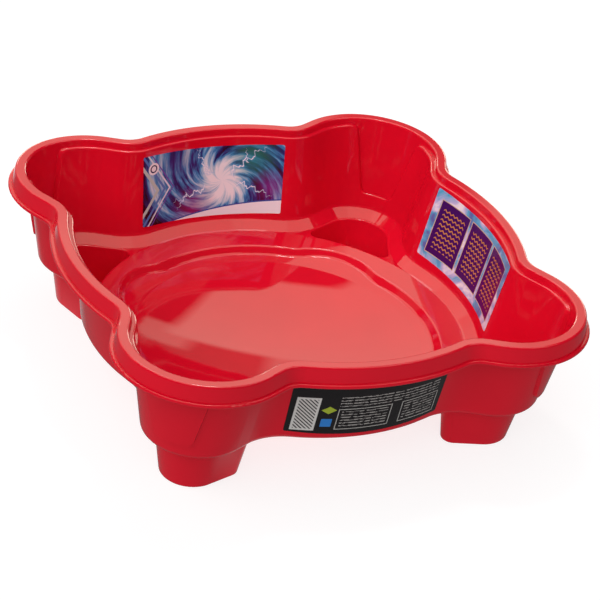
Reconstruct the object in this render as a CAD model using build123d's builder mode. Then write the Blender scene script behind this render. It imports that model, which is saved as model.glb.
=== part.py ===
"""Battle arena for spinning tops: a one-piece moulded tray with three self-adhesive labels.

Units are millimetres. +Z is up, the origin is on the ground under the middle of the tray, and the
front wall faces -Y. The tray is its outer form less the hollow inside it. Both are built from the
same cross-section of a wall, whose corners are given as (inset, height): the inset is measured
level, from the inner edge of the rim towards the middle.
"""
from build123d import *
from math import asin, atan2, cos, degrees, radians, sin, tan
import os

os.makedirs("parts", exist_ok=True)

# ---- Driving dimensions ----
height = 123.0            # rim top above the ground
wall = 2.5                # thickness of the moulding
draft = 10.4              # lean of every wall, degrees from vertical
overrun = 1.0             # cutting solids run past the faces that they cut by this much

# Plan of the inner edge of the rim
diagonal = 45.0           # the first corner lobe lies at this turn from +X, degrees
side_radius = 184.0       # the four bowed sides lie on one circle
lobe_setback = 4.4        # middle of a corner lobe, inside the circle of the sides
lobe_radius = 58.4        # nose of a corner lobe
flank_lean = 18.8         # a lobe widens inwards by this angle on each side
notch_radius = 31.0       # blend between a side and a lobe

# Rolled rim
rim_width = 8.8           # from the inner edge out to the skirt
skirt_drop = 13.0         # height of the skirt above the lip
skirt_flare = 2.2         # the skirt leans out by this much
lip_reach = 2.8           # the lip stands out from the skirt by this much
lip_height = 3.3
rim_rounding = 1.8
lip_rounding = 1.4

# Raised wall panels, and the corner recesses between them
panel_drop = 5.5          # top of the panels below the rim
panel_step = 3.5          # the panels stand this far into the tray
panel_rounding = 1.8
panel_corner = 8.0        # rounding of the panels' top corners beside a recess
recess_drop = 67.5        # foot of a recess below the rim
recess_top_width = 58.0
recess_foot_width = 28.0
recess_corner = 6.0       # rounding of a recess's lower corners
recess_wall = 1.5         # the backs of the recesses are thinner than the rest

# Foot of the walls, cove, track, well and dish
base_drop = 80.0          # foot of the walls below the rim
base_rounding = 3.0
cove_run = 10.1           # sloping band at the foot of the walls
cove_drop = 7.2
cove_rounding = 4.0
track_run = 20.6          # shallow sloping ring, where the tops are launched
track_drop = 3.3
step_rounding = 2.5
swell_reach = 7.9         # the well swells by this much towards each corner pocket
swell_radius = 60.0
swell_blend = 60.0
riser_run = 4.6           # steep step down into the well
riser_drop = 5.8
riser_rounding = 4.0
ring_run = 9.5            # sloping ring around the dish
ring_drop = 2.1
dish_depth = 11.1         # middle of the dish below its edge

# Corner pockets, whose outsides are the feet
pocket_land = 2.0         # level strip round the mouth of a pocket
pocket_lean = 21.5        # the mouth of a pocket widens inwards by this angle on each side
foot_lean = 28.0          # and its foot by this angle
pocket_back_draft = 4.0   # lean of the back of a pocket, degrees from vertical
pocket_corner = 7.0
pocket_rounding = 1.5     # mouth of a pocket
pocket_floor_rounding = 3.0
foot_rounding = 2.0

# Labels
label_width = 131.0       # along the bottom edge
label_top_width = 133.5
label_height = 64.0
label_thickness = 0.25
label_corner = 1.5
label_film = 0.05         # adhesive between a label and the moulding
label_drop = 45.2         # middle of the back and front labels below the rim
right_label_drop = 41.7
back_label_shift = -3.2   # middle of each label along its wall
right_label_shift = -1.0
front_label_shift = -1.2

# ---- Worked out from the driving dimensions ----
lobe_centre = side_radius - lobe_setback
lean = tan(radians(draft))
level_wall = wall / cos(radians(draft))    # wall thickness measured level
level_recess_wall = recess_wall / cos(radians(draft))


def outside(before, corner, after):
    """A corner of the inside cross-section, moved out by the wall squarely to both its faces."""
    down = (corner - before).normalized()
    on = (after - corner).normalized()
    normal_down = Vector(down.Y, -down.X)
    normal_on = Vector(on.Y, -on.X)
    return corner + (normal_down + normal_on) * (wall / (1 + normal_down.dot(normal_on)))


# Inside cross-section of a wall, from the rim down to the dish
rim = Vector(0, height)
shoulder = Vector(panel_drop * lean, height - panel_drop)
panel = shoulder + Vector(panel_step, 0)
base = Vector(panel.X + (base_drop - panel_drop) * lean, height - base_drop)
track = base + Vector(cove_run, -cove_drop)
well = track + Vector(track_run, -track_drop)
riser = well + Vector(riser_run, -riser_drop)
ring = riser + Vector(ring_run, -ring_drop)

# The same corners on the outside of the wall
shoulder_out = outside(rim, shoulder, panel)
panel_out = outside(shoulder, panel, base)
base_out = outside(panel, base, track)
track_out = outside(base, track, well)
well_out = outside(track, well, riser)

cove_angle = degrees(atan2(cove_run, cove_drop))
riser_angle = degrees(atan2(riser_run, riser_drop))
skirt_angle = degrees(atan2(skirt_flare, skirt_drop))
swell_centre = side_radius - well.X + swell_reach - swell_radius
dish_radius = side_radius - ring.X
dish_floor = ring.Y - dish_depth
dish_sphere = (dish_radius ** 2 + dish_depth ** 2) / (2 * dish_depth)
pocket_back = side_radius - track.X + pocket_land
pocket_half_angle = 15.0                   # each pocket's mouth lies within this of its diagonal


def stadium(level, inset):
    """Plan of the whole tray: a circle with four corner lobes, blended in the notches."""
    nose = lobe_radius - inset
    across = Vector(sin(radians(flank_lean)), cos(radians(flank_lean)))
    tangent = across * nose
    root = tangent + Vector(-across.Y, across.X) * lobe_radius
    with BuildSketch(Plane.XY.offset(level)) as plan:
        Circle(side_radius - inset)
        with PolarLocations(lobe_centre, 4, start_angle=diagonal):
            Circle(nose)
            Polygon(tangent, root, (root.X, -root.Y), (tangent.X, -tangent.Y), align=None)
        notches = plan.vertices().sort_by_distance((0, 0, level))[:8]
        fillet(notches, notch_radius + inset)
    return plan.sketch


def well_plan(level, inset):
    """Plan of the well's edge: a circle that swells a little towards each corner pocket."""
    with BuildSketch(Plane.XY.offset(level)) as plan:
        Circle(side_radius - well.X - inset)
        with PolarLocations(swell_centre, 4, start_angle=diagonal):
            Circle(swell_radius - inset)
        fillet(plan.vertices(), swell_blend + inset)
    return plan.sketch


def pocket_plan(level, grow=0):
    """Plan of a corner pocket at a height, lying along +X: a nose, two flanks and a back arc.

    Going down, the nose draws in with the draft, the back draws in less, and the flanks splay.
    All its sides move together when it is grown.
    """
    sunk = track.Y - level
    nose = lobe_radius - track.X - pocket_land - sunk * lean + grow
    back = pocket_back + sunk * tan(radians(pocket_back_draft)) - grow
    flank = radians(pocket_lean + (foot_lean - pocket_lean) * sunk / track.Y)
    across = Vector(sin(flank), cos(flank))
    tangent = across * nose
    root = tangent + Vector(-across.Y, across.X) * lobe_radius
    with BuildSketch(Plane.XY.offset(level)) as plan:
        with Locations((lobe_centre, 0)):
            Circle(nose)
            Polygon(tangent, root, (root.X, -root.Y), (tangent.X, -tangent.Y), align=None)
        Circle(back, mode=Mode.SUBTRACT)
        corners = plan.vertices().sort_by_distance((0, 0, level))[:2]
        fillet(corners, pocket_corner + grow)
    return plan.sketch


def recess_windows(grow=0):
    """Four upright openings, one square to each diagonal, that the corner recesses pass through.

    Each is as wide as a recess, and flares into the clear strip above the panels.
    """
    top = panel.Y - grow
    foot = height - recess_drop - grow
    half_top = recess_top_width / 2 + grow
    half_foot = recess_foot_width / 2 + grow
    half_strip = half_top + 2 * panel_corner
    with BuildPart() as windows:
        for quarter in range(4):
            face = Plane.XZ.rotated((0, 0, diagonal + 90 * quarter))
            with BuildSketch(face) as window:
                Polygon((-half_foot, foot), (half_foot, foot), (half_top, top), (half_strip, top),
                        (half_strip, height + overrun), (-half_strip, height + overrun),
                        (-half_strip, top), (-half_top, top), align=None)
                top_row = window.vertices().group_by(Axis.Y)[1]
                fillet(top_row.sort_by_distance((0, top))[:2], panel_corner - grow)
                fillet(window.vertices().group_by(Axis.Y)[0], recess_corner + grow)
            extrude(amount=-lobe_centre - lobe_radius)
    return windows.part


def walls(top, drop, inset, mode=Mode.ADD):
    """Everything inside one drafted run of wall, from a height down by a drop."""
    extrude(stadium(top, inset), amount=-drop, taper=draft, mode=mode)


def dish_profile(thickness=0):
    """Half section above the well's floor, or above its underside: a dish and a sloping ring."""
    climb = (pocket_back - dish_radius) * ring_drop / ring_run
    dish_angle = degrees(asin(dish_radius / dish_sphere))
    with BuildSketch(Plane.XZ) as profile:
        with BuildLine():
            dish = CenterArc((0, dish_floor + dish_sphere - thickness), dish_sphere, 270, dish_angle)
            Polyline(dish @ 1, (pocket_back, ring.Y + climb - thickness), (pocket_back, base.Y),
                     (0, base.Y), dish @ 0)
        make_face()
    return profile.sketch


def track_profile(top, edge, foot):
    """Half section of the solid above the track, or above its underside."""
    with BuildSketch(Plane.XZ) as profile:
        Polygon((0, top), (side_radius - edge.X, top), (side_radius - edge.X, edge.Y),
                (side_radius - foot.X, foot.Y), (0, foot.Y), align=None)
    return profile.sketch


def level_edges(part, level):
    """The edges of a part that lie wholly at one height."""
    reach = 0.01
    low, high = level - reach, level + reach
    return part.edges().filter_by(
        lambda edge: low < edge.bounding_box().min.Z and edge.bounding_box().max.Z < high)


def radius_of(point):
    """Level distance of a point from the middle of the tray."""
    return Vector(point.X, point.Y).length


def on_side(point):
    """Whether the middle of an edge at the track's height lies on the foot of a bowed side's cove."""
    turn = abs(degrees(atan2(abs(point.Y), abs(point.X))) - diagonal)
    return turn > pocket_half_angle and radius_of(point) < side_radius - track.X + 0.1


def on_step(point):
    """Whether the middle of an edge lies where the track drops into the well."""
    return side_radius - riser.X < radius_of(point) < swell_centre + swell_radius + riser_run


# ---- The hollow: everything that is open to the tray from above ----
# The unraised wall shows above the panels and in the four corner recesses.
with BuildPart() as clear_walls:
    with BuildSketch(Plane.XY.offset(panel.Y)):
        Rectangle(3 * side_radius, 3 * side_radius)
    extrude(amount=height - panel.Y + overrun)
    add(recess_windows())
    walls(rim.Y, recess_drop + overrun, rim.X, mode=Mode.INTERSECT)

# The well: a swelling circle with a steep side, floored by a sloping ring round a dish.
with BuildPart() as well_hollow:
    rise = track.Y - well.Y
    extrude(well_plan(track.Y, -rise * riser_run / riser_drop), amount=dish_floor - track.Y,
            taper=riser_angle)
    revolve(dish_profile(), mode=Mode.INTERSECT)
    floor_edges = well_hollow.edges().filter_by_position(Axis.Z, ring.Y + 0.5, track.Y - 0.5)
    fillet(floor_edges, riser_rounding)

with BuildPart() as pocket_hollow:
    loft([pocket_plan(track.Y), pocket_plan(wall)], ruled=True)
    fillet(pocket_hollow.edges().group_by(Axis.Z)[0], pocket_floor_rounding)

with BuildPart() as hollow:
    walls(panel.Y, panel.Y - base.Y, panel.X)
    add(clear_walls.part)
    panel_edges = hollow.edges().filter_by_position(Axis.Z, base.Y + 1, height - 1)
    fillet(panel_edges.filter_by(Edge.is_interior), panel_rounding)
    extrude(stadium(base.Y, base.X), amount=-cove_drop, taper=cove_angle)
    revolve(track_profile(track.Y, track, well))
    add(well_hollow.part)
    with PolarLocations(0, 4, start_angle=diagonal):
        add(pocket_hollow.part)
    fillet(level_edges(hollow, base.Y), base_rounding)
    # Edges at the track's height: pocket mouths, and the four arcs where the cove meets the track
    seams = level_edges(hollow, track.Y)
    mouths = seams.filter_by(lambda edge: radius_of(edge.center()) > pocket_back - 0.1)
    fillet(mouths.filter_by(Edge.is_interior), pocket_rounding)
    cove_edges = level_edges(hollow, track.Y).filter_by(lambda edge: on_side(edge.center()))
    fillet(cove_edges, cove_rounding)
    step_edges = hollow.edges().filter_by_position(Axis.Z, well.Y - 0.1, track.Y - 0.1)
    fillet(step_edges.filter_by(lambda edge: on_step(edge.center())), step_rounding)

# ---- The tray ----
# The backs of the four corner recesses
with BuildPart() as recess_backs:
    add(recess_windows(recess_wall))
    walls(rim.Y, recess_drop + recess_wall + overrun, rim.X - level_recess_wall,
          mode=Mode.INTERSECT)

with BuildPart() as well_under:
    rise = track_out.Y - well_out.Y
    extrude(well_plan(track_out.Y, well_out.X - well.X - rise * riser_run / riser_drop),
            amount=dish_floor - wall - track_out.Y, taper=riser_angle)
    revolve(dish_profile(wall), mode=Mode.INTERSECT)

with BuildPart() as foot:
    loft([pocket_plan(track.Y, level_wall), pocket_plan(0, level_wall)], ruled=True)
    fillet(foot.edges().group_by(Axis.Z)[0], foot_rounding)

with BuildPart() as arena_tray:
    # Rolled rim: a skirt that flares down to a lip, hollow underneath
    skirt_foot = height - skirt_drop
    extrude(stadium(height, -rim_width), amount=-skirt_drop, taper=-skirt_angle)
    extrude(stadium(skirt_foot, -rim_width - skirt_flare - lip_reach), amount=-lip_height)
    lip_top = level_edges(arena_tray, skirt_foot).filter_by(Edge.is_interior, reverse=True)
    lip_foot = level_edges(arena_tray, skirt_foot - lip_height)
    fillet(lip_top + lip_foot, lip_rounding)
    extrude(stadium(height - wall, wall - rim_width), amount=wall - skirt_drop - lip_height,
            taper=-skirt_angle, mode=Mode.SUBTRACT)

    # Walls: the backs of the panels are set in, and the backs of the recesses stand out
    walls(rim.Y, rim.Y - shoulder_out.Y, rim.X - level_wall)
    walls(panel_out.Y, panel_out.Y - base_out.Y, panel_out.X)
    add(recess_backs.part)
    extrude(stadium(base_out.Y, base_out.X), amount=track_out.Y - base_out.Y, taper=cove_angle)
    fillet(level_edges(arena_tray, base_out.Y), base_rounding + wall)

    # Underside of the track and the well, and the four feet
    revolve(track_profile(track_out.Y, track_out, well_out))
    add(well_under.part)
    with PolarLocations(0, 4, start_angle=diagonal):
        add(foot.part)

    add(hollow.part, mode=Mode.SUBTRACT)
    fillet(level_edges(arena_tray, height), rim_rounding)
arena_tray.part.label = "arena_tray"
export_step(arena_tray.part, "parts/arena_tray.step")


# ---- The labels ----
label_level = label_thickness / cos(radians(draft))
film_level = label_film / cos(radians(draft))


def label_skin(clear, turn, drop, shift):
    """A label pressed onto a wall: a thin skin of the wall, cut a little wider at the top.

    The skin's outer face lies the given level distance inside the face of the panels. The wall
    faces away along the turn, and the drop and shift place the label's middle on it.
    """
    rim_face = panel.X - panel_drop * lean
    out = Vector(1, 0, 0).rotate(Axis.Z, turn)
    along = Vector(0, 1, 0).rotate(Axis.Z, turn)
    reach = side_radius - rim_face - drop * lean
    middle = out * reach + along * shift + Vector(0, 0, height - drop)
    square_to_wall = out * cos(radians(draft)) - Vector(0, 0, sin(radians(draft)))
    walls(height, base_drop, rim_face + clear)
    walls(height, base_drop, rim_face + clear + label_level, mode=Mode.SUBTRACT)
    with BuildSketch(Plane(middle, x_dir=along, z_dir=square_to_wall)) as outline:
        Polygon((-label_width / 2, -label_height / 2), (label_width / 2, -label_height / 2),
                (label_top_width / 2, label_height / 2), (-label_top_width / 2, label_height / 2),
                align=None)
        fillet(outline.vertices(), label_corner)
    extrude(outline.sketch, amount=label_width / 2, both=True, mode=Mode.INTERSECT)


with BuildPart() as back_wall_label:
    label_skin(film_level, 90, label_drop, -back_label_shift)
back_wall_label.part.label = "back_wall_label"
export_step(back_wall_label.part, "parts/back_wall_label.step")

with BuildPart() as right_wall_label:
    label_skin(film_level, 0, right_label_drop, right_label_shift)
right_wall_label.part.label = "right_wall_label"
export_step(right_wall_label.part, "parts/right_wall_label.step")

with BuildPart() as front_label:
    label_skin(-level_wall - film_level - label_level, -90, label_drop, front_label_shift)
front_label.part.label = "front_label"
export_step(front_label.part, "parts/front_label.step")
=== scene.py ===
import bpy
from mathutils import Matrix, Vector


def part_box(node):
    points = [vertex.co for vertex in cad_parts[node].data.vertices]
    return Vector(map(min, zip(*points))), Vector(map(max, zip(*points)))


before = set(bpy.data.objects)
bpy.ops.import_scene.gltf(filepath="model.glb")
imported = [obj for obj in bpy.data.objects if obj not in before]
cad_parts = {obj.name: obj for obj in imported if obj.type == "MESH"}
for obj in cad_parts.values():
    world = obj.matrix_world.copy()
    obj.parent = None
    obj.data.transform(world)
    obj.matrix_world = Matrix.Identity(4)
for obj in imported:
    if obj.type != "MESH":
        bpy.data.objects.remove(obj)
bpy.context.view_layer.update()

# Looks of a battle arena for spinning tops: a glossy red moulded tray with three printed labels.
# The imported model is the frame: metres, +Z up, the front wall faces -Y. All four parts of the arena
# are kept from it as they are, and get their finishes here, part by part.

from math import atan2, cos, pi, radians, tan

import bpy
from mathutils import Matrix, Vector

# ---- Tray ---------------------------------------------------------------------------------------
# One injection moulding in red ABS, from a polished mould. Polished ABS is a strong plain colour
# under a clear hard gloss, with the faintest ripple where the melt cooled against the steel.
RED = "#E90F2A"
RED_THICK = "#D90C26"        # where the melt met and set a little darker
ABS_IOR = 1.54
ABS_ROUGHNESS = 0.022
CLOUD_SIZE = 55.0            # mm, soft clouding in the colour
RIPPLE_SIZE = 38.0           # mm, sink and ripple that bend the reflections a little
RIPPLE_HEIGHT = 0.03         # mm
GRAIN_SIZE = 0.9             # mm, the mould's polish, drawn coarser than it is so that it shows
GRAIN_HEIGHT = 0.0004        # mm
METRE = 1000.0               # mm


def paint(code):
    """An sRGB hex colour as the linear RGBA that a shader takes, by the sRGB curve."""
    channels = [int(code[i:i + 2], 16) / 255 for i in (1, 3, 5)]
    return [c / 12.92 if c <= 0.04045 else ((c + 0.055) / 1.055) ** 2.4 for c in channels] + [1.0]


def add_node(tree, kind, inputs=(), **settings):
    """Adds a shader node. An input takes a value, a socket, or a node for its first output."""
    node = tree.nodes.new("ShaderNode" + kind)
    for name, value in settings.items():
        setattr(node, name, value)
    for key, value in inputs.items() if isinstance(inputs, dict) else enumerate(inputs):
        if isinstance(value, bpy.types.Node):
            value = value.outputs[0]
        if isinstance(value, bpy.types.NodeSocket):
            tree.links.new(value, node.inputs[key])
        else:
            node.inputs[key].default_value = value
    return node


def new_material(name):
    """An empty material and its node tree, ready for a shader."""
    material = bpy.data.materials.new(name)
    material.use_nodes = True
    material.node_tree.nodes.clear()
    return material, material.node_tree


def finish_node(node_name, material):
    """The CAD node keeps its mesh and wears the material all over."""
    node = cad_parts[node_name]
    node.data.materials.clear()
    node.data.materials.append(material)


def ripple(tree, place, size, height, before=None):
    """A bump in mm from noise with features of one size, laid over the bump before it."""
    noise = add_node(tree, "TexNoise", {"Vector": place, "Scale": METRE / size, "Detail": 1.0})
    bump = {"Height": noise, "Distance": height / METRE, "Strength": 1.0}
    if before:
        bump["Normal"] = before
    return add_node(tree, "Bump", bump)


def moulded_red_abs():
    """Red ABS from a polished mould: faint clouds in the colour, and ripple and grain in relief."""
    material, tree = new_material("moulded_red_abs")
    place = add_node(tree, "TexCoord").outputs["Object"]
    clouds = add_node(tree, "TexNoise",
                      {"Vector": place, "Scale": METRE / CLOUD_SIZE, "Detail": 2.0})
    colour = add_node(tree, "Mix", {0: clouds, 6: paint(RED), 7: paint(RED_THICK)},
                      data_type="RGBA")
    sunk = ripple(tree, place, RIPPLE_SIZE, RIPPLE_HEIGHT)
    grain = ripple(tree, place, GRAIN_SIZE, GRAIN_HEIGHT, sunk)
    surface = add_node(tree, "BsdfPrincipled",
                       {"Base Color": colour.outputs[2], "Roughness": ABS_ROUGHNESS,
                        "IOR": ABS_IOR, "Normal": grain})
    add_node(tree, "OutputMaterial", [surface])
    return material


finish_node("arena_tray", moulded_red_abs())

# ---- Back wall label ----------------------------------------------------------------------------
# Polypropylene film, printed, varnished, die-cut and stuck inside the back wall: flat inks under
# a coat whose gloss is softer than the tray's. The print is a whirl of light in a dark sky, with
# forked bolts, chevrons at its left end, a white band below and a plain disc.
FILM_IOR = 1.49
FILM_ROUGHNESS = 0.14
FILM_RIPPLE_SIZE = 19.0      # mm, a slight unevenness from the wall and the glue
FILM_RIPPLE_HEIGHT = 0.015   # mm
WALL_LEAN = radians(10.4)    # the walls lean out, so a mm up a label is a little less in height

# An ink and the brightness at which it is pure, from the dark sky to the light
SKY = (("#0E0A20", 0.37), ("#1A2F7C", 0.45), ("#3F93CE", 0.53), ("#B6D6EA", 0.62),
       ("#F6F6FC", 0.75))
WHIRL_MIDDLE = (12.0, -1.0)  # mm across and up, as all places on a label
WHIRL_TWIST = 0.035          # radians of turn for each mm outwards
STREAKS = 2.6                # the more, the finer are the streaks round the whirl
STREAK_LENGTH = 34.0         # mm
STREAK_DETAIL = 5.0          # how many times finer streaks are laid on coarser ones
STREAK_ROUGHNESS = 0.62      # how strong each finer layer is
GLOW_CORE = 2.0              # mm from the middle, where the glow starts to fall
GLOW_REACH = 34.0            # mm, where it has ended
GLOW_GAIN = 0.30             # what the glow adds to the brightness at its core
GLOW_LOSS = -0.03            # and beyond its reach

# Middle, reach in mm and ink of the soft tints over the sky
TINTS = (((40.0, 20.0), 26.0, "#1F9C8E"), ((-14.0, -24.0), 24.0, "#B22C7A"),
         ((57.0, -8.0), 20.0, "#9C2C8E"), ((-32.0, 24.0), 22.0, "#3A1E78"))
TINT_STRENGTH = 0.62

# Start, degrees round, length in mm and half width in mm
BOLTS = (((3.0, 6.0), 118.0, 30.0, 0.8), ((22.0, 3.0), 38.0, 42.0, 0.9),
         ((26.0, -6.0), -22.0, 34.0, 0.7), ((-4.0, -4.0), 196.0, 34.0, 0.8),
         ((36.0, 15.0), 96.0, 14.0, 0.5), ((-22.0, -8.0), 236.0, 18.0, 0.5))
BOLT_BENDS = 7               # along a bolt's length
BOLT_KINKS = 19              # and smaller ones on top of them
BOLT_SWING = 0.9             # mm aside for each mm along, in the bends
BOLT_WHITE = "#F2F6FF"
HAZE_BLUE = "#5FB4EE"
HAZE_REACH = 5.0             # half widths
HAZE_STRENGTH = 0.5

# Ink, mm across and half width in mm
CHEVRONS = (("#BFD2CC", -51.0, 1.7), ("#4C7FC4", -43.8, 1.3), ("#DDE6F4", -38.6, 0.9),
            ("#6A44AE", -35.0, 0.6))
CHEVRON_FOLD = 0.7           # mm across for each mm up or down

# Ink, and mm up at the label's middle, of the thin blue edge and of the white band below it
BANDS = (("#2C4FA8", -26.6), ("#F6F3FA", -27.8))
BAND_RISE = 0.14             # mm up for each mm across
BADGE_MIDDLE = (-56.0, 20.5)
BADGE_RADIUS = 5.4           # mm
BADGE_WHITE = "#F6F4FA"
RING_RADIUS = 3.0            # mm, to the middle of the ring's line
RING_HALF = 0.6              # mm, half of that line
RING_NAVY = "#27305E"


def label_place(tree, node_name, facing_x=False):
    """Mm across and up from a label's middle, as seen by someone who looks straight at it.

    They come in one flat vector, and apart. The label faces -Y, or else -X.
    """
    low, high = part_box(node_name)
    middle = (Vector(low) + Vector(high)) / 2
    place = add_node(tree, "TexCoord").outputs["Object"]
    centred = add_node(tree, "VectorMath", (place, middle), operation="SUBTRACT")
    upright = add_node(tree, "Mapping", {
        "Vector": centred,
        "Rotation": (-pi / 2, pi / 2 if facing_x else 0.0, 0.0),
        "Scale": (METRE, METRE, METRE / cos(WALL_LEAN))})
    across, up, _ = add_node(tree, "SeparateXYZ", [upright]).outputs
    return add_node(tree, "CombineXYZ", (across, up)).outputs[0], across, up


def spread_inks(stops, inks):
    """Inks that blend into each other along a colour ramp, each a hex colour at its value."""
    for i, (ink, at) in enumerate(inks):
        stop = stops[i] if i < len(stops) else stops.new(at)
        stop.position = at
        stop.color = paint(ink)


def bolt(tree, flat, start, degrees_round, length, half_width):
    """How far a place is off a zigzag line, and the line's half width, which ends in a point."""
    along_it = add_node(tree, "Mapping", {
        "Vector": flat, "Location": (*start, 0.0), "Rotation": (0.0, 0.0, radians(degrees_round))},
        vector_type="TEXTURE")
    along, off, _ = add_node(tree, "SeparateXYZ", [along_it]).outputs
    bend = add_node(tree, "Math", (along, length / BOLT_BENDS), operation="PINGPONG")
    kink = add_node(tree, "Math", (along, length / BOLT_KINKS), operation="PINGPONG")
    swing = add_node(tree, "Math", (bend, BOLT_SWING, kink), operation="MULTIPLY_ADD")
    away = add_node(tree, "Math", (off, swing), operation="SUBTRACT")
    taper = add_node(tree, "MapRange", {"Value": along, "From Min": 0.0, "From Max": length,
                                        "To Min": half_width, "To Max": 0.0})
    begun = add_node(tree, "Math", (along, 0.0), operation="GREATER_THAN")
    return (add_node(tree, "Math", [away], operation="ABSOLUTE"),
            add_node(tree, "Math", (taper, begun), operation="MULTIPLY"))


def varnished_film(tree, ground, inks):
    """A label's shader: inks laid one over another, each as strongly as its mask, and varnish."""
    for mask, ink in inks:
        ground = add_node(tree, "Mix", {0: mask, 6: ground, 7: paint(ink)},
                          data_type="RGBA").outputs[2]
    place = add_node(tree, "TexCoord").outputs["Object"]
    uneven = ripple(tree, place, FILM_RIPPLE_SIZE, FILM_RIPPLE_HEIGHT)
    surface = add_node(tree, "BsdfPrincipled",
                       {"Base Color": ground, "Roughness": FILM_ROUGHNESS, "IOR": FILM_IOR,
                        "Normal": uneven})
    add_node(tree, "OutputMaterial", [surface])


def storm_print():
    """Streaky noise wound round the whirl, brightest at its middle, with bolts and plain motifs."""
    material, tree = new_material("storm_print_film")
    flat, across, up = label_place(tree, "back_wall_label")

    # Noise over the direction from the middle, turned further the further out, makes the streaks
    centred = add_node(tree, "VectorMath", (flat, (*WHIRL_MIDDLE, 0.0)), operation="SUBTRACT")
    radius = add_node(tree, "VectorMath", [centred], operation="LENGTH").outputs["Value"]
    turn = add_node(tree, "Math", (radius, WHIRL_TWIST), operation="MULTIPLY")
    wound = add_node(tree, "VectorRotate", {"Vector": centred, "Angle": turn},
                     rotation_type="Z_AXIS")
    around = add_node(tree, "VectorMath", [wound], operation="NORMALIZE")
    outward = add_node(tree, "Math", (radius, STREAK_LENGTH), operation="DIVIDE")
    place = add_node(tree, "VectorMath",
                     (around, (STREAKS, STREAKS, 0.0), add_node(tree, "CombineXYZ", {2: outward})),
                     operation="MULTIPLY_ADD")
    streaks = add_node(tree, "TexNoise", {
        "Vector": place, "Scale": 1.0, "Detail": STREAK_DETAIL, "Roughness": STREAK_ROUGHNESS})
    glow = add_node(tree, "MapRange", {
        "Value": radius, "From Min": GLOW_CORE, "From Max": GLOW_REACH,
        "To Min": GLOW_GAIN, "To Max": GLOW_LOSS}, interpolation_type="SMOOTHSTEP")
    brightness = add_node(tree, "Math", (streaks, glow), operation="ADD")
    sky = add_node(tree, "ValToRGB", [brightness])
    spread_inks(sky.color_ramp.elements, SKY)

    inks = []
    for middle, reach, ink in TINTS:
        spread = add_node(tree, "VectorMath", (flat, (*middle, 0.0)), operation="DISTANCE")
        tint = add_node(tree, "MapRange", {
            "Value": spread.outputs["Value"], "From Min": 0.0, "From Max": reach,
            "To Min": TINT_STRENGTH, "To Max": 0.0})
        inks.append((tint, ink))

    for start, degrees_round, length, half_width in BOLTS:
        away, half = bolt(tree, flat, start, degrees_round, length, half_width)
        reach = add_node(tree, "Math", (half, HAZE_REACH), operation="MULTIPLY")
        haze = add_node(tree, "MapRange", {"Value": away, "From Min": 0.0, "From Max": reach,
                                           "To Min": HAZE_STRENGTH, "To Max": 0.0})
        core = add_node(tree, "Math", (away, half), operation="LESS_THAN")
        inks += [(haze, HAZE_BLUE), (core, BOLT_WHITE)]

    fold = add_node(tree, "Math", [up], operation="ABSOLUTE")
    pointed = add_node(tree, "Math", (fold, CHEVRON_FOLD, across), operation="MULTIPLY_ADD")
    for ink, at, half_width in CHEVRONS:
        stripe = add_node(tree, "Math", (pointed, at, half_width), operation="COMPARE")
        inks.append((stripe, ink))

    edge = add_node(tree, "Math", (across, -BAND_RISE, up), operation="MULTIPLY_ADD")
    for ink, at in BANDS:
        inks.append((add_node(tree, "Math", (edge, at), operation="LESS_THAN"), ink))

    spread = add_node(tree, "VectorMath", (flat, (*BADGE_MIDDLE, 0.0)), operation="DISTANCE")
    spread = spread.outputs["Value"]
    badge = add_node(tree, "Math", (spread, BADGE_RADIUS), operation="LESS_THAN")
    ring = add_node(tree, "Math", (spread, RING_RADIUS, RING_HALF), operation="COMPARE")
    inks += [(badge, BADGE_WHITE), (ring, RING_NAVY)]
    varnished_film(tree, sky, inks)
    return material


finish_node("back_wall_label", storm_print())

# ---- Right wall label ---------------------------------------------------------------------------
# The same varnished film, stuck inside the right wall: three deep purple fields with rows of gold
# zigzags, each field in a thin pale outline, in a misty border of sky blue and lavender.
MIST = (("#5E6DB4", 0.36), ("#58B4DC", 0.46), ("#BEBCE8", 0.55), ("#F4F0F8", 0.64))
MIST_SIZE = 30.0             # mm, how wide the clouds of mist are
MIST_CURL = 1.4              # how far they are drawn into curls
FIELD_PITCH = 40.5           # mm from one field to the next
FIELD_HALF = (18.8, 25.6)    # mm, half of a field's width and height
FIELD_PURPLE = "#3B1466"
FIELD_LINE = 0.7             # mm
LINE_PALE = "#D8BFA0"
ZIGZAG_HALF = (13.8, 19.2)   # mm, half of what the zigzags fill
ZIGZAG_GOLD = "#CC9048"
ZIGZAG_ROW = 4.6             # mm from one row to the next
ZIGZAG_WAVE = 4.8            # mm from one peak to the next
ZIGZAG_RISE = 0.8            # mm up for each mm across
ZIGZAG_LINE = 0.62           # mm, half of a line's height


def rectangle(tree, across, up, middle, half):
    """1 inside an upright rectangle and 0 outside: both ways, it is half a side from the middle."""
    beside = add_node(tree, "Math", (across, middle[0], half[0]), operation="COMPARE")
    level = add_node(tree, "Math", (up, middle[1], half[1]), operation="COMPARE")
    return add_node(tree, "Math", (beside, level), operation="MULTIPLY")


def outline(tree, across, up, middle, half, line):
    """1 on the edge of an upright rectangle, drawn inwards with a line's width."""
    inner_half = (half[0] - line, half[1] - line)
    outer = rectangle(tree, across, up, middle, half)
    inner = rectangle(tree, across, up, middle, inner_half)
    return add_node(tree, "Math", (outer, inner), operation="SUBTRACT")


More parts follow.
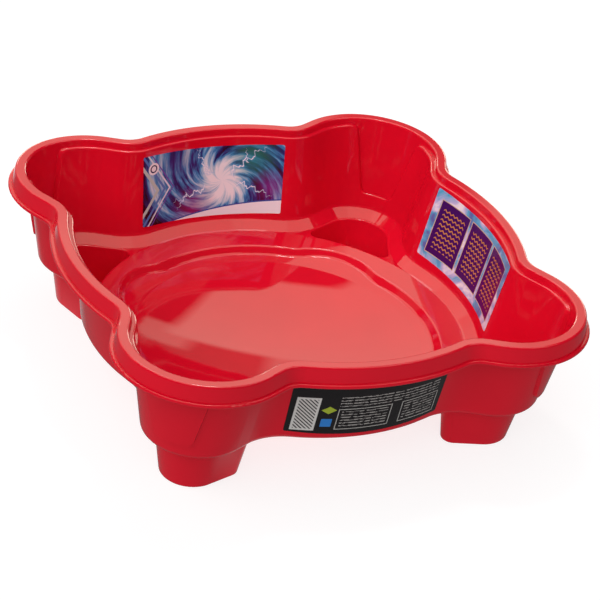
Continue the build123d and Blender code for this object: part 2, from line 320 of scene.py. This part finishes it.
def panel_print():
    """A misty border, and fields of zigzags: each row is a band that swings up and down."""
    material, tree = new_material("panel_print_film")
    flat, across, up = label_place(tree, "right_wall_label", facing_x=True)
    clouds = add_node(tree, "TexNoise", {
        "Vector": flat, "Scale": 1 / MIST_SIZE, "Detail": 4.0, "Distortion": MIST_CURL})
    mist = add_node(tree, "ValToRGB", [clouds])
    spread_inks(mist.color_ramp.elements, MIST)
    swing = add_node(tree, "Math", (across, ZIGZAG_WAVE / 2), operation="PINGPONG")
    level = add_node(tree, "Math", (swing, ZIGZAG_RISE, up), operation="MULTIPLY_ADD")
    row = add_node(tree, "Math", (level, ZIGZAG_ROW / 2), operation="PINGPONG")
    zigzag = add_node(tree, "Math", (row, ZIGZAG_LINE), operation="LESS_THAN")

    inks = []
    for i in (-1, 0, 1):
        middle = (i * FIELD_PITCH, 0.0)
        field = rectangle(tree, across, up, middle, FIELD_HALF)
        edge = outline(tree, across, up, middle, FIELD_HALF, FIELD_LINE)
        inside = rectangle(tree, across, up, middle, ZIGZAG_HALF)
        rows = add_node(tree, "Math", (inside, zigzag), operation="MULTIPLY")
        inks += [(field, FIELD_PURPLE), (edge, LINE_PALE), (rows, ZIGZAG_GOLD)]
    varnished_film(tree, mist, inks)
    return material


finish_node("right_wall_label", panel_print())

# ---- Front label --------------------------------------------------------------------------------
# The same varnished film, stuck outside the front wall with its top under the rim: near-black,
# with a hatched pale patch at its left, outlined boxes of fine grey rows, a small blue square and
# a green lozenge.
INK_BLACK = "#1B1719"

# Each block of rows, box, patch and square is given by its middle and half of its size, in mm
ROW_BLOCKS = (((-5.5, -17.0), (19.5, 8.4)), ((43.5, -17.0), (14.6, 8.4)),
              ((16.0, 2.0), (44.0, 5.4)))
ROW_STEP = 3.0               # mm from one row to the next
ROW_HALF = 0.55              # mm, half of a row's height
ROW_GREY = "#A5A09D"
DASH = 3.4                   # mm, about the length of a dash
DASH_GAPS = 0.44             # the more, the wider are the gaps
BOXES = (((-5.5, -17.0), (22.5, 11.0)), ((43.5, -17.0), (17.5, 11.0)))
BOX_LINE = 0.7               # mm
BOX_GREY = "#B9B5B1"
PATCH = ((-52.5, -11.5), (9.0, 17.5))
PATCH_PALE = "#D6D3D0"
PATCH_MARGIN = 1.8           # mm
HATCH_STEP = 3.2             # mm across from one line to the next
HATCH_HALF = 0.7             # mm across, half of a line
HATCH_DARK = "#3A3638"
SQUARE = ((-35.5, -20.5), (4.2, 4.2))
SQUARE_BLUE = "#2F7FD0"
LOZENGE_MIDDLE = (-35.5, -7.0)
LOZENGE_HALF = 6.0           # mm, half of its width
LOZENGE_FLATNESS = 1.5       # its width over its height
LOZENGE_GREEN = "#A8B834"


def dark_print():
    """Near-black film with boxes, rows of broken dashes, a hatched patch and two small motifs."""
    material, tree = new_material("dark_print_film")
    _, across, up = label_place(tree, "front_label")

    # A row is a band in each step upwards; noise that is the same all over a row breaks it up
    band = add_node(tree, "Math", (up, ROW_STEP / 2), operation="PINGPONG")
    row = add_node(tree, "Math", (band, ROW_HALF), operation="LESS_THAN")
    level = add_node(tree, "Math", (up, ROW_STEP), operation="SNAP")
    breaks = add_node(tree, "TexNoise", {
        "Vector": add_node(tree, "CombineXYZ", (across, level)), "Scale": 1 / DASH, "Detail": 0.0})
    dash = add_node(tree, "Math", (breaks, DASH_GAPS), operation="GREATER_THAN")
    dashed = add_node(tree, "Math", (row, dash), operation="MULTIPLY")

    inks = []
    for middle, half in ROW_BLOCKS:
        block = rectangle(tree, across, up, middle, half)
        rows = add_node(tree, "Math", (block, dashed), operation="MULTIPLY")
        inks.append((rows, ROW_GREY))
    for middle, half in BOXES:
        inks.append((outline(tree, across, up, middle, half, BOX_LINE), BOX_GREY))

    middle, half = PATCH
    patch = rectangle(tree, across, up, middle, half)
    inside = rectangle(tree, across, up, middle, [side - PATCH_MARGIN for side in half])
    slant = add_node(tree, "Math", (across, up), operation="ADD")
    hatch = add_node(tree, "Math", (slant, HATCH_STEP / 2), operation="PINGPONG")
    lines = add_node(tree, "Math", (hatch, HATCH_HALF), operation="LESS_THAN")
    hatching = add_node(tree, "Math", (inside, lines), operation="MULTIPLY")
    inks += [(patch, PATCH_PALE), (hatching, HATCH_DARK)]

    # A lozenge is where mm aside, and mm above times its flatness, come to less than half its width
    square = rectangle(tree, across, up, *SQUARE)
    aside = add_node(tree, "Math", (across, LOZENGE_MIDDLE[0]), operation="SUBTRACT")
    above = add_node(tree, "Math", (up, LOZENGE_MIDDLE[1]), operation="SUBTRACT")
    aside = add_node(tree, "Math", [aside], operation="ABSOLUTE")
    above = add_node(tree, "Math", [above], operation="ABSOLUTE")
    reach = add_node(tree, "Math", (above, LOZENGE_FLATNESS, aside), operation="MULTIPLY_ADD")
    lozenge = add_node(tree, "Math", (reach, LOZENGE_HALF), operation="LESS_THAN")
    inks += [(square, SQUARE_BLUE), (lozenge, LOZENGE_GREEN)]
    varnished_film(tree, paint(INK_BLACK), inks)
    return material


finish_node("front_label", dark_print())

# ---- Floor --------------------------------------------------------------------------------------
# The arena stands on a wide sheet of white paper. The camera sees it plain, with the arena's faint
# shadow. The gloss sees it bright behind the arena, and dim in front and out to the sides.
AIM = Vector((0.3996431, 0.7557511, -0.5187733))     # the way the camera looks
FLOOR_HALF = 12.0            # m
PAPER_SHADE = "#959595"      # the part of the paper's look that takes shadows
PAPER_GLOW = 0.8             # and the part that doesn't
GLOSS_DIM = 0.16             # the paper's light in the gloss, in front
GLOSS_BRIGHT = 0.90          # and behind
DIM_UNTIL = -0.22            # m behind the arena's middle, the last place that is dim
BRIGHT_FROM = -0.08          # m, and the first that is bright
SIDE_DIMMING = 1.1           # m that those places move back for each m aside
PAPER_BOUNCE = 0.36          # more of the paper's light, for the colour alone

behind = Vector((AIM.x, AIM.y, 0.0)).normalized()
to_right = Vector((behind.y, -behind.x, 0.0))


def back_and_right(tree, vector):
    """How far a place or a direction goes to the back and to the right, as the camera looks."""
    return [add_node(tree, "VectorMath", (vector, way), operation="DOT_PRODUCT").outputs["Value"]
            for way in (behind, to_right)]


def ray_kinds(tree):
    """1 for what the camera sees, straight or through clear things, and all the kinds of ray."""
    rays = add_node(tree, "LightPath").outputs
    seen = add_node(tree, "Math", (rays["Is Camera Ray"], rays["Is Transmission Ray"]),
                    operation="MAXIMUM")
    return seen, rays


floor_mesh = bpy.data.meshes.new("paper_floor")
floor_mesh.from_pydata([(x * FLOOR_HALF, y * FLOOR_HALF, 0.0)
                        for x, y in ((-1, -1), (1, -1), (1, 1), (-1, 1))], [], [(0, 1, 2, 3)])
floor = bpy.data.objects.new("paper_floor", floor_mesh)
bpy.context.collection.objects.link(floor)

paper, tree = new_material("white_paper")
seen, rays = ray_kinds(tree)
back, aside = back_and_right(tree, add_node(tree, "TexCoord").outputs["Object"])
aside = add_node(tree, "Math", [aside], operation="ABSOLUTE")
back = add_node(tree, "Math", (aside, -SIDE_DIMMING, back), operation="MULTIPLY_ADD")
glow = add_node(tree, "MapRange", {"Value": back, "From Min": DIM_UNTIL, "From Max": BRIGHT_FROM,
                                   "To Min": GLOSS_DIM, "To Max": GLOSS_BRIGHT})
glow = add_node(tree, "Math", (rays["Is Diffuse Ray"], PAPER_BOUNCE, glow),
                operation="MULTIPLY_ADD")
to_object = add_node(tree, "Emission", {"Strength": glow})
to_camera = add_node(tree, "AddShader", (
    add_node(tree, "BsdfDiffuse", {"Color": paint(PAPER_SHADE)}),
    add_node(tree, "Emission", {"Strength": PAPER_GLOW})))
add_node(tree, "OutputMaterial", [add_node(tree, "MixShader", (seen, to_object, to_camera))])
floor_mesh.materials.append(paper)
paper.cycles.emission_sampling = "NONE"

# ---- Lamps --------------------------------------------------------------------------------------
# A wide softbox and a small bright lamp head hang overhead, behind the arena, and look straight
# down. The softbox lights the inside, and both show as glints on rounded edges.
LAMP_HEIGHT = 1.6            # m

# Name, degrees above the horizon at its far and near edge, width and shift to the right in m, and
# radiance
LAMPS = (("softbox", 54.0, 72.0, 1.5, 0.0, 1.8), ("lamp_head", 76.5, 81.5, 0.26, -0.03, 24.0))

for name, far_angle, near_angle, width, shift, radiance in LAMPS:
    far, near = (LAMP_HEIGHT / tan(radians(angle)) for angle in (far_angle, near_angle))
    lamp = bpy.data.lights.new(name, "AREA")
    lamp.shape = "RECTANGLE"
    lamp.size = width
    lamp.size_y = far - near
    lamp.energy = radiance * pi * lamp.size * lamp.size_y
    lamp_object = bpy.data.objects.new(name, lamp)
    bpy.context.collection.objects.link(lamp_object)
    lamp_object.location = (behind * (near + far) / 2 + to_right * shift
                            + Vector((0, 0, LAMP_HEIGHT)))
    lamp_object.rotation_euler = (0.0, 0.0, atan2(to_right.y, to_right.x))
    lamp_object.visible_camera = False

# ---- Surroundings -------------------------------------------------------------------------------
# A bright tent. The gloss shows its pale panels, each at its own place round the arena. The colour
# gets soft light from all sides and, more strongly, from above the front left.
GLOSS_TINT = "#FFFCE7"       # a warm white
GLOSS_BASE = 0.04            # what the gloss shows where there is no panel
PANEL_FADE = 0.5             # degrees, half of a panel's soft edge

# Name, degrees round from straight behind to its left and right edge, degrees above the horizon to
# its lower and upper edge, and radiance. The two on the right of the backdrop are for the rim.
GLOSS_PANELS = (("backdrop", -60.0, 6.2, 30.0, 47.5, 1.6),
                ("backdrop_foot", -60.0, 0.0, 14.0, 30.0, 0.85),
                ("backdrop_left", -60.0, -6.5, 47.5, 70.0, 1.6),
                ("backdrop_top", -6.5, 10.0, 52.5, 70.0, 1.6),
                ("backdrop_right_foot", 4.5, 9.0, 27.0, 30.0, 0.8),
                ("backdrop_right", 6.2, 9.0, 30.0, 32.0, 1.0),
                ("horizon", -95.0, 45.0, -30.0, 30.0, 0.25),
                ("left_strip", -24.0, -9.0, 4.0, 24.0, 4.0),
                ("right_strip", 9.0, 22.0, 4.0, 26.0, 4.5),
                ("left", -82.0, -60.0, 34.0, 70.0, 1.9),
                ("front_left", -185.0, -82.0, 62.0, 70.0, 2.1),
                ("right", 62.0, 120.0, 48.0, 70.0, 1.5),
                ("ceiling", -185.0, 185.0, 70.0, 95.0, 1.8))
FILL_LIGHT = 0.33            # soft light from all sides
FRONT_FILL = 3.2             # and how much more comes from its brightest side
FRONT_FILL_LEFT = 38.0       # degrees from straight in front to that side
FRONT_FILL_LOW = 0.24        # height of the direction below which the front fill gives nothing
FRONT_FILL_HIGH = 0.44       # and above which it is full
PLAIN_WHITE = 1.0            # what the camera sees


def soft_range(tree, value, low, high):
    """1 between two angles in degrees and 0 beyond them, with soft edges."""
    rise = add_node(tree, "MapRange", {"Value": value, "From Min": radians(low - PANEL_FADE),
                                       "From Max": radians(low + PANEL_FADE)})
    fall = add_node(tree, "MapRange", {"Value": value, "From Min": radians(high + PANEL_FADE),
                                       "From Max": radians(high - PANEL_FADE)})
    return add_node(tree, "Math", (rise, fall), operation="MULTIPLY")


world = bpy.data.worlds.new("studio")
bpy.context.scene.world = world
world.use_nodes = True
world.cycles.sampling_method = "NONE"
tree = world.node_tree
tree.nodes.clear()
ray = add_node(tree, "TexCoord").outputs["Generated"]
back, rightward = back_and_right(tree, ray)
height = add_node(tree, "SeparateXYZ", [ray]).outputs["Z"]

# A direction's angle round from straight behind, and its angle above the horizon, pick the panel
angle_round = add_node(tree, "Math", (rightward, back), operation="ARCTAN2")
angle_above = add_node(tree, "Math", [height], operation="ARCSINE")
gloss = GLOSS_BASE
for name, left, right, low, high, radiance in GLOSS_PANELS:
    beside = soft_range(tree, angle_round, left, right)
    level = soft_range(tree, angle_above, low, high)
    panel = add_node(tree, "Math", (beside, level), operation="MULTIPLY")
    panel.label = name
    gloss = add_node(tree, "Math", (panel, radiance, gloss), operation="MULTIPLY_ADD")

# The front fill falls off with the cosine of the angle from its brightest side
fill_side = Matrix.Rotation(radians(-FRONT_FILL_LEFT), 3, "Z") @ -behind
toward = add_node(tree, "VectorMath", (ray, fill_side), operation="DOT_PRODUCT").outputs["Value"]
toward = add_node(tree, "Math", (toward, 0.0), operation="MAXIMUM")
high_enough = add_node(tree, "MapRange", {"Value": height, "From Min": FRONT_FILL_LOW,
                                          "From Max": FRONT_FILL_HIGH})
toward = add_node(tree, "Math", (toward, high_enough), operation="MULTIPLY")
fill = add_node(tree, "Math", (toward, FRONT_FILL, FILL_LIGHT), operation="MULTIPLY_ADD")

seen, rays = ray_kinds(tree)
plain = add_node(tree, "Mix", {0: seen, 2: fill, 3: PLAIN_WHITE}, data_type="FLOAT")
fill_light = add_node(tree, "Background", {"Strength": plain})
gloss_light = add_node(tree, "Background", {"Color": paint(GLOSS_TINT), "Strength": gloss})
light = add_node(tree, "MixShader", (rays["Is Glossy Ray"], fill_light, gloss_light))
add_node(tree, "OutputWorld", [light])

# ---- Camera -------------------------------------------------------------------------------------
# It stands in front of the arena, to the left and above it, and looks down on it. Its lens is long,
# so lines that run to the back hardly draw together.
SIDE = Vector((0.9107230, -0.3917131, 0.1309369))    # the way to its right
CAMERA_PLACE = Vector((-0.755668, -1.454607, 1.057998))     # m
LENS = 139.25                # mm
SENSOR = 36.0                # mm

camera = bpy.data.cameras.new("camera")
camera.lens = LENS
camera.sensor_width = SENSOR
camera_object = bpy.data.objects.new("camera", camera)
bpy.context.collection.objects.link(camera_object)
upward = SIDE.cross(AIM)
turned = Matrix((SIDE, upward, -AIM)).transposed().to_4x4()
camera_object.matrix_world = Matrix.Translation(CAMERA_PLACE) @ turned
bpy.context.scene.camera = camera_object
bpy.context.scene.view_settings.view_transform = "Standard"
